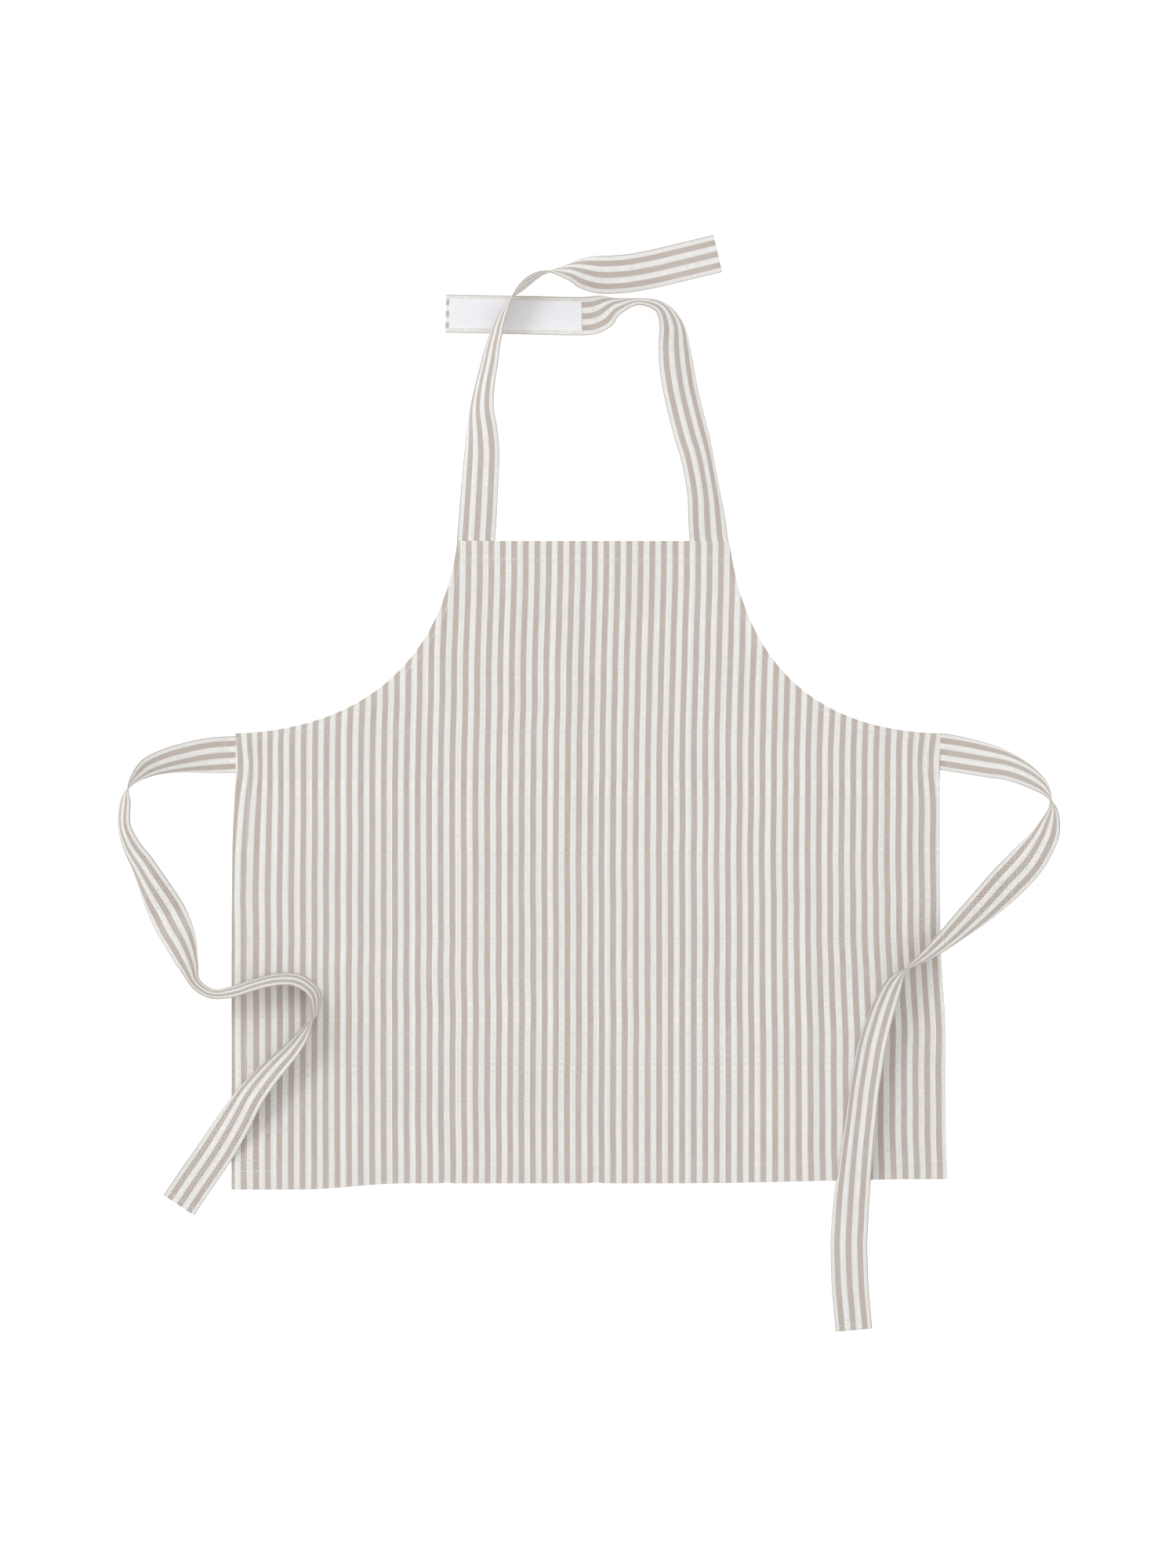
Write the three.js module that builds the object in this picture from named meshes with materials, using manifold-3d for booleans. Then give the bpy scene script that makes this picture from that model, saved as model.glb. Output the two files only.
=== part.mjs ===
// A child's bib apron of striped cotton canvas, laid out flat on a table with its front face up.
// The panel has its edges turned under and stitched. Two neck straps are sewn behind the top of
// the bib and close with hook-and-loop tape; a waist tie is sewn behind each side. The straps and
// ties are flat tubes of the same canvas, and lie in the loops and twists that they fell into.
// Millimetres. X runs across the apron, +Y towards the bib, and Z = 0 is the table.
import * as THREE from "three";
import { mergeVertices } from "three/addons/utils/BufferGeometryUtils.js";
import Module from "manifold-3d";

const wasm = await Module();
wasm.setup();

// The cloth and its seams
const clothThickness = 0.5;
const hemLayers = 2; // layers turned under the panel's edge
const ribbonLayers = 2; // a strap or tie is a tube, pressed flat
const seamGap = 0.3; // between two pieces that meet edge to edge, or that only lie on each other
const threadWidth = 0.7;
const threadHeight = 0.3; // how far a row of stitches stands off the cloth
const stitchInset = 1.5; // from the edge of a hem, strap end or tape to its stitches

// The panel
const panelWidth = 481;
const panelCentreX = -0.5;
const panelBottomY = -271;
const waistY = 34.5; // where the armholes meet the sides
const bibTopY = 165;
const bibWidth = 184.5;
const bibCentreX = 3.6;
const topHemDepth = 14;
const bottomHemDepth = 14;
const sideHemDepth = 11;
const armholeHemDepth = 5.6;

// The armhole's curve leaves the bib's corner steeply and reaches the waist almost level
const armholeDrop = 78;
const armholeFlare = 10;
const armholeReach = 91.5;
const armholeRise = 2;
const armholeSteps = 20;

// The neck straps, the waist ties and the tape
const strapWidth = 26;
const strapSpacing = 158; // between the middles of the two straps, at the bib
const strapsCentreX = 3;
const tieWidth = 25;
const leftTieY = 20;
const rightTieY = 22;
const sewnEndMargin = 2; // how much of the hem shows past a sewn end
const tapeWidth = 20;
const tapeThickness = 1.2;
const loopTapeLength = 90;
const loopTapeFromEnd = 2.5;
const hookTapeLength = 50;
const hookTapeFromEnd = 5;
const endHemDepth = 4.5; // from a strap's or tie's free end to its end stitches
const rampLength = 26; // over which a ribbon comes down from what it lies on
const freeLength = 60; // of a tie, past its root, that can't lie on the panel

const hemThickness = hemLayers * clothThickness;
const ribbonThickness = ribbonLayers * clothThickness;
const panelTop = hemThickness + clothThickness;
const panelLeft = panelCentreX - panelWidth / 2;
const panelRight = panelCentreX + panelWidth / 2;

// Each ribbon's middle line as it lies, one stop every 15 mm or so: [x, y, roll], with x and y
// measured from the root, and roll in degrees about the line. At 0 the front face is up, at
// -90 the ribbon stands with its right edge up, and at -180 its back is up.
const leftStrapStops = [
  [0, 0, 0], [1, 14, -5], [2, 29, -10], [3, 44, -14], [4, 59, -20], [4.2, 74, -33],
  [4.1, 89, -48], [6.2, 104, -57], [9.4, 119, -61], [12.8, 134, -69], [16.9, 148, -79],
  [23.6, 161.6, -92], [33.5, 172.5, -96], [46.5, 180, -86], [61.2, 180.3, -62],
  [75, 180, -26], [90, 180.1, 0], [105, 181.4, 0], [120, 184, 0], [134.5, 187.4, 0],
  [149, 190.9, 0], [164, 194.5, 0],
];
const rightStrapStops = [
  [0, 0, 0], [-1.4, 13.6, 12], [-3, 28.4, 24], [-5.5, 43, 28], [-8.3, 57.6, 26],
  [-12, 71.9, 20], [-15.7, 86.3, 20], [-19.1, 100.8, 21], [-21.6, 115.4, 22],
  [-23.5, 130, 30], [-25.6, 144.8, 47], [-33.4, 156.9, 67], [-47.6, 160.4, 76],
  [-61.7, 157.4, 58], [-73.5, 153.4, 22], [-83, 152.2, 0], [-99, 152.2, 0], [-116, 152.6, 0],
  [-131, 152.9, 0], [-147, 153.3, 0], [-163, 153.6, 0], [-178.6, 153.9, 0],
];
const leftTieStops = [
  [0, 0, 0], [-14.5, -0.7, -14], [-29, -2, -32], [-44, -4.5, -47], [-57.5, -9.5, -62],
  [-67.5, -19.5, -88], [-71.3, -33, -112], [-72, -48, -115], [-67.4, -61.6, -124],
  [-60, -74.5, -136], [-53.6, -87.6, -150], [-47.2, -100.8, -168], [-40.6, -113.9, -190],
  [-34.5, -127.2, -214], [-29.7, -141.1, -238], [-24.1, -154.6, -259],
  [-12.5, -161.8, -260], [2, -160.2, -255], [15.9, -155.7, -254], [30.2, -152.3, -254],
  [44.8, -152.7, -254], [56.2, -161.3, -255], [57, -175.2, -266], [50.3, -188, -287],
  [41.4, -199.5, -297], [31.2, -210, -305], [21.2, -220.7, -314], [12, -232.2, -324],
  [4.2, -244.6, -335], [-3.6, -257, -345], [-11.5, -269.4, -352], [-19.8, -281.5, -357],
  [-28.2, -293.6, -360], [-36.3, -305.8, -360],
];
const rightTieStops = [
  [0, 0, 0], [14.3, -2.5, -10], [29, -5.7, -20], [43.3, -9.7, -36], [56.7, -16.3, -50],
  [68, -25.8, -68], [74, -39, -98], [71.1, -53, -127], [63.8, -65.8, -146],
  [54.5, -77.4, -168], [44.3, -88.2, -182], [33.6, -98.6, -198], [22.6, -108.8, -210],
  [11.3, -118.5, -223], [-0.2, -128.2, -236], [-11.9, -137.4, -248], [-24.1, -146, -264],
  [-33.1, -157.4, -293], [-39.3, -170.9, -305], [-44.2, -185, -312], [-48.2, -199.4, -318],
  [-50.9, -214.1, -321], [-53.3, -228.8, -322], [-55.1, -243.7, -324],
  [-56.9, -258.5, -326], [-58.7, -273.4, -330], [-60.3, -288.2, -336],
  [-61.8, -303.1, -345], [-62.7, -318, -351], [-63.4, -332.9, -354], [-63.1, -347.9, -356],
  [-62.5, -362.8, -358], [-61.2, -377.7, -360], [-59.9, -392.6, -360],
];
const stepsPerStop = 3;

const canvas = new THREE.MeshStandardMaterial({ color: 0xd9d0c6, roughness: 0.95, metalness: 0 });
const thread = new THREE.MeshStandardMaterial({ color: 0xf3f1ec, roughness: 0.8, metalness: 0 });
const tape = new THREE.MeshStandardMaterial({ color: 0xeeeff4, roughness: 0.9, metalness: 0 });

const apron = new THREE.Group();

// Adds one named piece to the apron.
function add(name, geometry, material) {
  const mesh = new THREE.Mesh(geometry, material);
  mesh.name = name;
  apron.add(mesh);
  return mesh;
}

// A three.js geometry as a solid that can be cut and joined, and the way back.
function solid(geometry) {
  geometry.deleteAttribute("normal");
  geometry.deleteAttribute("uv");
  const merged = mergeVertices(geometry);
  return new wasm.Manifold(
    new wasm.Mesh({
      numProp: 3,
      vertProperties: new Float32Array(merged.attributes.position.array),
      triVerts: new Uint32Array(merged.index.array),
    }),
  );
}

function geometryOf(body) {
  const mesh = body.getMesh();
  const geometry = new THREE.BufferGeometry();
  geometry.setAttribute("position", new THREE.BufferAttribute(mesh.vertProperties, 3));
  geometry.setIndex(new THREE.BufferAttribute(mesh.triVerts, 1));
  return geometry;
}

// A flat outline, given as points or a Shape, raised from one height to another.
function extrude(outline, low, high) {
  const shape = outline instanceof THREE.Shape ? outline : new THREE.Shape(outline);
  const geometry = new THREE.ExtrudeGeometry(shape, { depth: high - low, bevelEnabled: false });
  return geometry.translate(0, 0, low);
}

function block(x0, x1, y0, y1, z0, z1) {
  const geometry = new THREE.BoxGeometry(x1 - x0, y1 - y0, z1 - z0);
  return geometry.translate((x0 + x1) / 2, (y0 + y1) / 2, (z0 + z1) / 2);
}

// The same between two places across the apron that may come in either order.
function sideBlock(xa, xb, y0, y1, z0, z1) {
  return block(Math.min(xa, xb), Math.max(xa, xb), y0, y1, z0, z1);
}

// A rectangular frame of stitches, its middle line at the size given.
function stitchFrame(width, height) {
  const half = threadWidth / 2;
  const frame = new THREE.Shape([
    new THREE.Vector2(-width / 2 - half, -height / 2 - half),
    new THREE.Vector2(width / 2 + half, -height / 2 - half),
    new THREE.Vector2(width / 2 + half, height / 2 + half),
    new THREE.Vector2(-width / 2 - half, height / 2 + half),
  ]);
  frame.holes.push(
    new THREE.Path([
      new THREE.Vector2(-width / 2 + half, -height / 2 + half),
      new THREE.Vector2(-width / 2 + half, height / 2 - half),
      new THREE.Vector2(width / 2 - half, height / 2 - half),
      new THREE.Vector2(width / 2 - half, -height / 2 + half),
    ]),
  );
  return frame;
}

// ---- The panel and its turned hems

// One armhole's edge, from the bib's corner to the waist, moved into the cloth by inset.
// side is -1 on the left and 1 on the right.
function armholeEdge(side, inset) {
  const bibCorner = new THREE.Vector2(bibCentreX + (side * bibWidth) / 2, bibTopY);
  const waistCorner = new THREE.Vector2(side < 0 ? panelLeft : panelRight, waistY);
  const curve = new THREE.CubicBezierCurve(
    bibCorner,
    new THREE.Vector2(bibCorner.x + side * armholeFlare, bibTopY - armholeDrop),
    new THREE.Vector2(waistCorner.x - side * armholeReach, waistY + armholeRise),
    waistCorner,
  );
  const edge = [];
  for (let step = 0; step <= armholeSteps; step++) {
    const point = curve.getPoint(step / armholeSteps);
    const along = curve.getTangent(step / armholeSteps);
    const inward = new THREE.Vector2(side * along.y, -side * along.x);
    edge.push(point.addScaledVector(inward, inset));
  }
  edge[0].y = bibTopY;
  edge[armholeSteps].x = waistCorner.x;
  return edge;
}

// The panel's outline with its armholes cut deeper, or less deep, by inset.
function panelOutline(inset) {
  return [
    ...armholeEdge(-1, inset),
    new THREE.Vector2(panelLeft, panelBottomY),
    new THREE.Vector2(panelRight, panelBottomY),
    ...armholeEdge(1, inset).reverse(),
  ];
}

const far = panelWidth + bibTopY - panelBottomY; // past every edge of the panel
const hemBand = () => solid(extrude(panelOutline(0), 0, hemThickness));

// Where a strap's or tie's end is sewn in: its root on the panel's edge, the way out, its width.
const strapSewnDepth = topHemDepth - sewnEndMargin;
const tieSewnDepth = sideHemDepth - sewnEndMargin;
const leftStrapX = strapsCentreX - strapSpacing / 2;
const rightStrapX = strapsCentreX + strapSpacing / 2;

function strapEndBlock(x, grow) {
  const half = strapWidth / 2 + grow;
  const inner = bibTopY - strapSewnDepth - grow;
  return block(x - half, x + half, inner, bibTopY + grow, -grow, hemThickness);
}

function tieEndBlock(side, y, grow) {
  const half = tieWidth / 2 + grow;
  const edge = side < 0 ? panelLeft : panelRight;
  const inner = edge - side * (tieSewnDepth + grow);
  const outer = edge + side * grow;
  return sideBlock(inner, outer, y - half, y + half, -grow, hemThickness);
}

// The hems are the panel's own edges turned under twice, so they lie beneath it, face to face.
const topHemY = bibTopY - topHemDepth;
const bottomHemY = panelBottomY + bottomHemDepth;
const sideHemX = panelWidth / 2 - sideHemDepth;

const topHem = hemBand()
  .intersect(solid(block(-far, far, topHemY, far, -1, far)))
  .subtract(solid(strapEndBlock(leftStrapX, seamGap)))
  .subtract(solid(strapEndBlock(rightStrapX, seamGap)));
add("top_hem", geometryOf(topHem), canvas);

const bottomHem = hemBand().intersect(solid(block(-far, far, -far, bottomHemY, -1, far)));
add("bottom_hem", geometryOf(bottomHem), canvas);

for (const [side, name, tieY] of [[-1, "left", leftTieY], [1, "right", rightTieY]]) {
  const inner = panelCentreX + side * sideHemX;
  const outer = side * far;
  const sideHem = hemBand()
    .intersect(solid(sideBlock(inner, outer, bottomHemY + seamGap, far, -1, far)))
    .subtract(solid(tieEndBlock(side, tieY, seamGap)));
  add(`${name}_side_hem`, geometryOf(sideHem), canvas);

  const armholeInner = inner - side * seamGap;
  const armholeHem = hemBand()
    .subtract(solid(extrude(panelOutline(armholeHemDepth), -1, panelTop)))
    .intersect(solid(sideBlock(0, armholeInner, -far, topHemY - seamGap, -1, far)));
  add(`${name}_armhole_hem`, geometryOf(armholeHem), canvas);
}

// The panel's cloth lies over its hems and sinks to the table inside them. Its solid is filled
// down to the table there, so the whole underside is one flat face.
const core = solid(extrude(panelOutline(armholeHemDepth + seamGap), 0, hemThickness)).intersect(
  solid(
    block(
      panelCentreX - sideHemX + seamGap,
      panelCentreX + sideHemX - seamGap,
      bottomHemY + seamGap,
      topHemY - seamGap,
      -1,
      far,
    ),
  ),
);
const panel = solid(extrude(panelOutline(0), hemThickness, panelTop)).add(core);
add("body_panel", geometryOf(panel), canvas);

// The rows of stitches that hold the hems down, each standing a little off the cloth.
const threadTop = panelTop + threadHeight;

function stitchRow(name, x0, x1, y0, y1) {
  add(name, block(x0, x1, y0, y1, panelTop, threadTop), thread);
}

const sideRowX = sideHemX + stitchInset;
const topRowY = topHemY + stitchInset;
const bottomRowY = bottomHemY - stitchInset;
const bibRowHalf = bibWidth / 2 - stitchInset;
stitchRow(
  "top_hem_stitches",
  bibCentreX - bibRowHalf,
  bibCentreX + bibRowHalf,
  topRowY - threadWidth / 2,
  topRowY + threadWidth / 2,
);
stitchRow(
  "bottom_hem_stitches",
  panelLeft + stitchInset,
  panelRight - stitchInset,
  bottomRowY - threadWidth / 2,
  bottomRowY + threadWidth / 2,
);

for (const [side, name, tieY] of [[-1, "left", leftTieY], [1, "right", rightTieY]]) {
  const x = panelCentreX + side * sideRowX;
  const rowTop = tieY - tieWidth / 2;
  const half = threadWidth / 2;
  stitchRow(`${name}_side_hem_stitches`, x - half, x + half, bottomRowY + stitchInset, rowTop);

  const rowInset = armholeHemDepth - stitchInset;
  const outerEdge = armholeEdge(side, rowInset - threadWidth / 2);
  const innerEdge = armholeEdge(side, rowInset + threadWidth / 2);
  const inner = panelCentreX + side * (sideHemX - stitchInset);
  const row = solid(extrude([...outerEdge, ...innerEdge.reverse()], panelTop, threadTop)).intersect(
    solid(sideBlock(0, inner, -far, topHemY - stitchInset, -1, far)),
  );
  add(`${name}_armhole_stitches`, geometryOf(row), thread);
}

// ---- The sewn-in ends of the straps and ties, held between the panel and the table

for (const [name, x] of [["left", leftStrapX], ["right", rightStrapX]]) {
  add(`${name}_neck_strap_sewn_end`, strapEndBlock(x, 0), canvas);
  const frame = stitchFrame(strapWidth - 2 * stitchInset, strapSewnDepth - 2 * stitchInset);
  const stitches = add(`${name}_neck_strap_box_stitches`, extrude(frame, 0, threadHeight), thread);
  stitches.position.set(x, bibTopY - strapSewnDepth / 2, panelTop);
}

for (const [side, name, y] of [[-1, "left", leftTieY], [1, "right", rightTieY]]) {
  add(`${name}_waist_tie_sewn_end`, tieEndBlock(side, y, 0), canvas);
  const frame = stitchFrame(tieSewnDepth - 2 * stitchInset, tieWidth - 2 * stitchInset);
  const stitches = add(`${name}_waist_tie_box_stitches`, extrude(frame, 0, threadHeight), thread);
  const edge = side < 0 ? panelLeft : panelRight;
  stitches.position.set(edge - (side * tieSewnDepth) / 2, y, panelTop);
}

// ---- The ribbons

// The place at t on a smooth line through the stops, one column of them at a time.
function smooth(stops, column, t) {
  const last = stops.length - 1;
  const i = Math.min(Math.floor(t), last - 1);
  const u = t - i;
  const [a, b, c, d] = [i - 1, i, i + 1, i + 2].map(
    (k) => stops[Math.min(Math.max(k, 0), last)][column],
  );
  const cubic = -a + 3 * b - 3 * c + d;
  const square = 2 * a - 5 * b + 4 * c - d;
  return b + (u * (c - a + u * (square + u * cubic))) / 2;
}

// The same, without ever running past a stop's own value, so that what is level stays level.
function settled(stops, column, t) {
  const last = stops.length - 1;
  const value = (k) => stops[Math.min(Math.max(k, 0), last)][column];
  const slope = (k) => {
    const before = value(k) - value(k - 1);
    const after = value(k + 1) - value(k);
    return before * after > 0 ? (2 * before * after) / (before + after) : 0;
  };
  const i = Math.min(Math.floor(t), last - 1);
  const u = t - i;
  const rise = value(i + 1) - value(i);
  const s0 = slope(i);
  const s1 = slope(i + 1);
  return value(i) + u * (s0 + u * (3 * rise - 2 * s0 - s1 + u * (s0 + s1 - 2 * rise)));
}

function insideOutline(outline, x, y) {
  let inside = false;
  for (let i = 0, j = outline.length - 1; i < outline.length; j = i++) {
    const [p, q] = [outline[i], outline[j]];
    const crosses = p.y > y !== q.y > y && x < ((q.x - p.x) * (y - p.y)) / (q.y - p.y) + p.x;
    if (crosses) inside = !inside;
  }
  return inside;
}

// Where a ribbon leaves the panel's edge, and the way out.
function seamRoot(x, y, outX, outY) {
  const outward = new THREE.Vector2(outX, outY);
  return { x: x + seamGap * outX, y: y + seamGap * outY, outward };
}

// True where some part of a ribbon's width, seen from above, is inside the outline.
function touches(outline, step, width) {
  const half = (width / 2) * Math.cos(step.roll);
  return [-1, -0.5, 0, 0.5, 1].some((share) =>
    insideOutline(
      outline,
      step.x - step.heading.y * half * share,
      step.y + step.heading.x * half * share,
    ),
  );
}

// How a ribbon lies: for each step its middle, its direction across (to its own left edge) and
// outward from its front. It leaves its root square to the seam. beds say what it lies on:
// { height, under(step) }.
function layRibbon(root, stops, width, beds) {
  const steps = [];
  const count = (stops.length - 1) * stepsPerStop;
  let length = 0;
  for (let k = 0; k <= count; k++) {
    const t = k / stepsPerStop;
    const x = root.x + smooth(stops, 0, t);
    const y = root.y + smooth(stops, 1, t);
    const roll = THREE.MathUtils.degToRad(settled(stops, 2, t));
    if (k > 0) length += Math.hypot(x - steps[k - 1].x, y - steps[k - 1].y);
    steps.push({ x, y, roll, length, lift: 0 });
  }
  steps.forEach((step, k) => {
    const before = steps[Math.max(k - 1, 0)];
    const after = steps[Math.min(k + 1, count)];
    step.heading = new THREE.Vector2(after.x - before.x, after.y - before.y).normalize();
    step.fromEnd = length - step.length;
  });
  steps[0].heading = root.outward;
  for (const bed of beds) {
    const over = steps.filter((step) => bed.under(step));
    for (const step of steps) {
      const away = Math.min(...over.map((other) => Math.abs(other.length - step.length)));
      const near = Math.max(1 - away / rampLength, 0);
      step.lift = Math.max(step.lift, bed.height * near * near * (3 - 2 * near));
    }
  }
  for (const step of steps) {
    const standing = (Math.abs(Math.sin(step.roll)) * width) / 2;
    const lying = (Math.abs(Math.cos(step.roll)) * ribbonThickness) / 2;
    step.middle = new THREE.Vector3(step.x, step.y, step.lift + standing + lying);
  }
  steps.forEach((step, k) => {
    const before = steps[Math.max(k - 1, 0)].middle;
    const after = steps[Math.min(k + 1, count)].middle;
    const along = new THREE.Vector3().subVectors(after, before).normalize();
    if (k === 0) along.set(root.outward.x, root.outward.y, 0);
    const level = new THREE.Vector3(-along.y, along.x, 0).normalize();
    const up = new THREE.Vector3().crossVectors(along, level);
    step.across = level.clone().multiplyScalar(Math.cos(step.roll));
    step.across.addScaledVector(up, Math.sin(step.roll));
    step.front = new THREE.Vector3().crossVectors(along, step.across);
  });
  return steps;
}

// The ribbon's solid: a flat section carried along its steps, closed at both ends. Its front and
// back are split along the same diagonals, so it keeps its thickness where it twists.
function ribbonGeometry(steps, width) {
  const corners = [[1, 1], [1, -1], [-1, -1], [-1, 1]];
  const positions = [];
  for (const step of steps) {
    for (const [acrossSign, frontSign] of corners) {
      const corner = step.middle
        .clone()
        .addScaledVector(step.across, (acrossSign * width) / 2)
        .addScaledVector(step.front, (frontSign * ribbonThickness) / 2);
      positions.push(corner.x, corner.y, Math.max(corner.z, 0));
    }
  }
  const index = [0, 1, 2, 0, 2, 3];
  for (let k = 0; k < steps.length - 1; k++) {
    for (let side = 0; side < corners.length; side++) {
      const a = 4 * k + side;
      const b = 4 * k + ((side + 1) % 4);
      if (side < 2) index.push(a, a + 4, b, b, a + 4, b + 4);
      else index.push(a, a + 4, b + 4, a, b + 4, b);
    }
  }
  const end = 4 * (steps.length - 1);
  index.push(end, end + 2, end + 1, end, end + 3, end + 2);
  const geometry = new THREE.BufferGeometry();
  geometry.setAttribute("position", new THREE.Float32BufferAttribute(positions, 3));
  geometry.setIndex(index);
  return geometry;
}

// A strap's outline from above, narrower where the strap leans, and grown all round.
function ribbonPlan(steps, grow) {
  const edge = (side) =>
    steps.map((step) => {
      const half = side * ((strapWidth / 2) * Math.abs(Math.cos(step.roll)) + grow);
      const place = new THREE.Vector2(step.x - step.heading.y * half, step.y + step.heading.x * half);
      return place.addScaledVector(step.heading, step.fromEnd > 0 ? 0 : grow);
    });
  return [...edge(1), ...edge(-1).reverse()];
}

// Sets a mesh flat on or under a ribbon, its length along the ribbon, at a distance from the end.
function placeOnRibbon(mesh, steps, fromEnd, z) {
  const after = steps.findIndex((step) => step.fromEnd <= fromEnd);
  const [a, b] = [steps[after - 1], steps[after]];
  const share = (a.fromEnd - fromEnd) / (a.fromEnd - b.fromEnd);
  mesh.position.set(a.x + share * (b.x - a.x), a.y + share * (b.y - a.y), z);
  mesh.rotation.z = Math.atan2(b.y - a.y, b.x - a.x);
}

function addEndStitches(name, steps, width, z) {
  const half = width / 2 - stitchInset;
  const row = block(-threadWidth / 2, threadWidth / 2, -half, half, 0, threadHeight);
  placeOnRibbon(add(name, row, thread), steps, endHemDepth, z);
}

function tapeGeometry(length) {
  return block(-length / 2, length / 2, -tapeWidth / 2, tapeWidth / 2, 0, tapeThickness);
}

// ---- The right neck strap, with the soft loop tape on its front

const rightStrapRoot = seamRoot(rightStrapX, bibTopY, 0, 1);
const rightStrap = layRibbon(rightStrapRoot, rightStrapStops, strapWidth, []);
add("right_neck_strap", ribbonGeometry(rightStrap, strapWidth), canvas);

const loopTapeMiddle = loopTapeFromEnd + loopTapeLength / 2;
const loopTape = tapeGeometry(loopTapeLength);
const loopTapeTop = ribbonThickness + tapeThickness;
placeOnRibbon(add("loop_tape", loopTape, tape), rightStrap, loopTapeMiddle, ribbonThickness);
const loopFrame = stitchFrame(loopTapeLength - 2 * stitchInset, tapeWidth - 2 * stitchInset);
placeOnRibbon(
  add("loop_tape_stitches", extrude(loopFrame, 0, threadHeight), thread),
  rightStrap,
  loopTapeMiddle,
  loopTapeTop,
);

// ---- The left neck strap crosses over the right one's end and has the hook tape under its own

const rightStrapPlan = ribbonPlan(rightStrap, ribbonThickness);
const hookEndLength = hookTapeFromEnd + hookTapeLength;
const leftStrapRoot = seamRoot(leftStrapX, bibTopY, 0, 1);
const leftStrap = layRibbon(leftStrapRoot, leftStrapStops, strapWidth, [
  {
    height: loopTapeTop + threadHeight + seamGap,
    under: (step) => touches(rightStrapPlan, step, strapWidth),
  },
  { height: tapeThickness, under: (step) => step.fromEnd < hookEndLength + strapWidth },
]);
add("left_neck_strap", ribbonGeometry(leftStrap, strapWidth), canvas);

const leftStrapEndTop = tapeThickness + ribbonThickness;
const hookTapeMiddle = hookTapeFromEnd + hookTapeLength / 2;
const hookTape = tapeGeometry(hookTapeLength);
placeOnRibbon(add("hook_tape", hookTape, tape), leftStrap, hookTapeMiddle, 0);
const hookFrame = stitchFrame(hookTapeLength - 2 * stitchInset, tapeWidth - 2 * stitchInset);
placeOnRibbon(
  add("hook_tape_stitches", extrude(hookFrame, 0, threadHeight), thread),
  leftStrap,
  hookTapeMiddle,
  leftStrapEndTop,
);
addEndStitches("left_neck_strap_end_stitches", leftStrap, strapWidth, leftStrapEndTop);

// ---- The waist ties lie partly on the panel

const panelPlan = panelOutline(-ribbonThickness);

function layTie(root, stops) {
  const onPanel = (step) => step.length > freeLength && touches(panelPlan, step, tieWidth);
  return layRibbon(root, stops, tieWidth, [{ height: panelTop + seamGap, under: onPanel }]);
}

const leftTie = layTie(seamRoot(panelLeft, leftTieY, -1, 0), leftTieStops);
add("left_waist_tie", ribbonGeometry(leftTie, tieWidth), canvas);
addEndStitches("left_waist_tie_end_stitches", leftTie, tieWidth, ribbonThickness);

const rightTie = layTie(seamRoot(panelRight, rightTieY, 1, 0), rightTieStops);
add("right_waist_tie", ribbonGeometry(rightTie, tieWidth), canvas);
addEndStitches("right_waist_tie_end_stitches", rightTie, tieWidth, ribbonThickness);

export default apron;
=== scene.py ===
"""A child's bib apron of striped canvas, laid out flat with its front face up.

It is made in the order a sewer makes it: the panel with its turned hems, their rows of
stitches, the two neck straps with their tapes, and the two waist ties. Metres; X runs across
the apron, +Y towards the bib, and Z = 0 is the table.
"""
import math

import bpy
import numpy as np
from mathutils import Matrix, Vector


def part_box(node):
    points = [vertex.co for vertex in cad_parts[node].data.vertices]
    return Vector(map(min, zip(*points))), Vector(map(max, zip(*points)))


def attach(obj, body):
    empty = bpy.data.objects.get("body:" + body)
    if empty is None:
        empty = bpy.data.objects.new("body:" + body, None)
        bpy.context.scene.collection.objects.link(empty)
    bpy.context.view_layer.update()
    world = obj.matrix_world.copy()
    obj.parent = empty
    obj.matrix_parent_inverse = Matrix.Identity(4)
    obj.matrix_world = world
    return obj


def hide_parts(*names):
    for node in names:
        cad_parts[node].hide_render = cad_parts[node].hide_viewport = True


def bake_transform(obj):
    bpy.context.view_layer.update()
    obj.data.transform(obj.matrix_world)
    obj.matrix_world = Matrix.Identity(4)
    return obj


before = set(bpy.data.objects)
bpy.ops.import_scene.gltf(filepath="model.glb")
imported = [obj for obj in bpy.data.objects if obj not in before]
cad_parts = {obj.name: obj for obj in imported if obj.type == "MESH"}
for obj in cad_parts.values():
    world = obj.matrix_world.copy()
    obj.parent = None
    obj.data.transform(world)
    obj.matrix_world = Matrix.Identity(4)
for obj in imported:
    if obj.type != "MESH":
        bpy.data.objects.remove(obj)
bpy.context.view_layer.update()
MM = 0.001

# ---- The camera, the floor and the lights
# The apron is seen from straight above, with the bib at the top, on a plain white floor. One
# large soft light stands at the upper left, and the rest of the light comes from all round.

camera_height = 3.0
seen_length = 1.064
camera = bpy.data.objects.new("camera", bpy.data.cameras.new("camera"))
camera.data.sensor_width = 36.0
camera.data.lens = camera.data.sensor_width * camera_height / seen_length
camera.location = (0, 0, camera_height)
bpy.context.scene.collection.objects.link(camera)
bpy.context.scene.camera = camera
bpy.context.scene.view_settings.view_transform = "Standard"


def add_light(name, place, size, power, colour):
    """A square light of that size and power, turned to the middle of the apron."""
    light = bpy.data.objects.new(name, bpy.data.lights.new(name, "AREA"))
    light.data.size = size
    light.data.energy = power
    light.data.color = colour
    light.location = place
    light.rotation_euler = (-light.location).to_track_quat("-Z", "Y").to_euler()
    bpy.context.scene.collection.objects.link(light)


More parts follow.
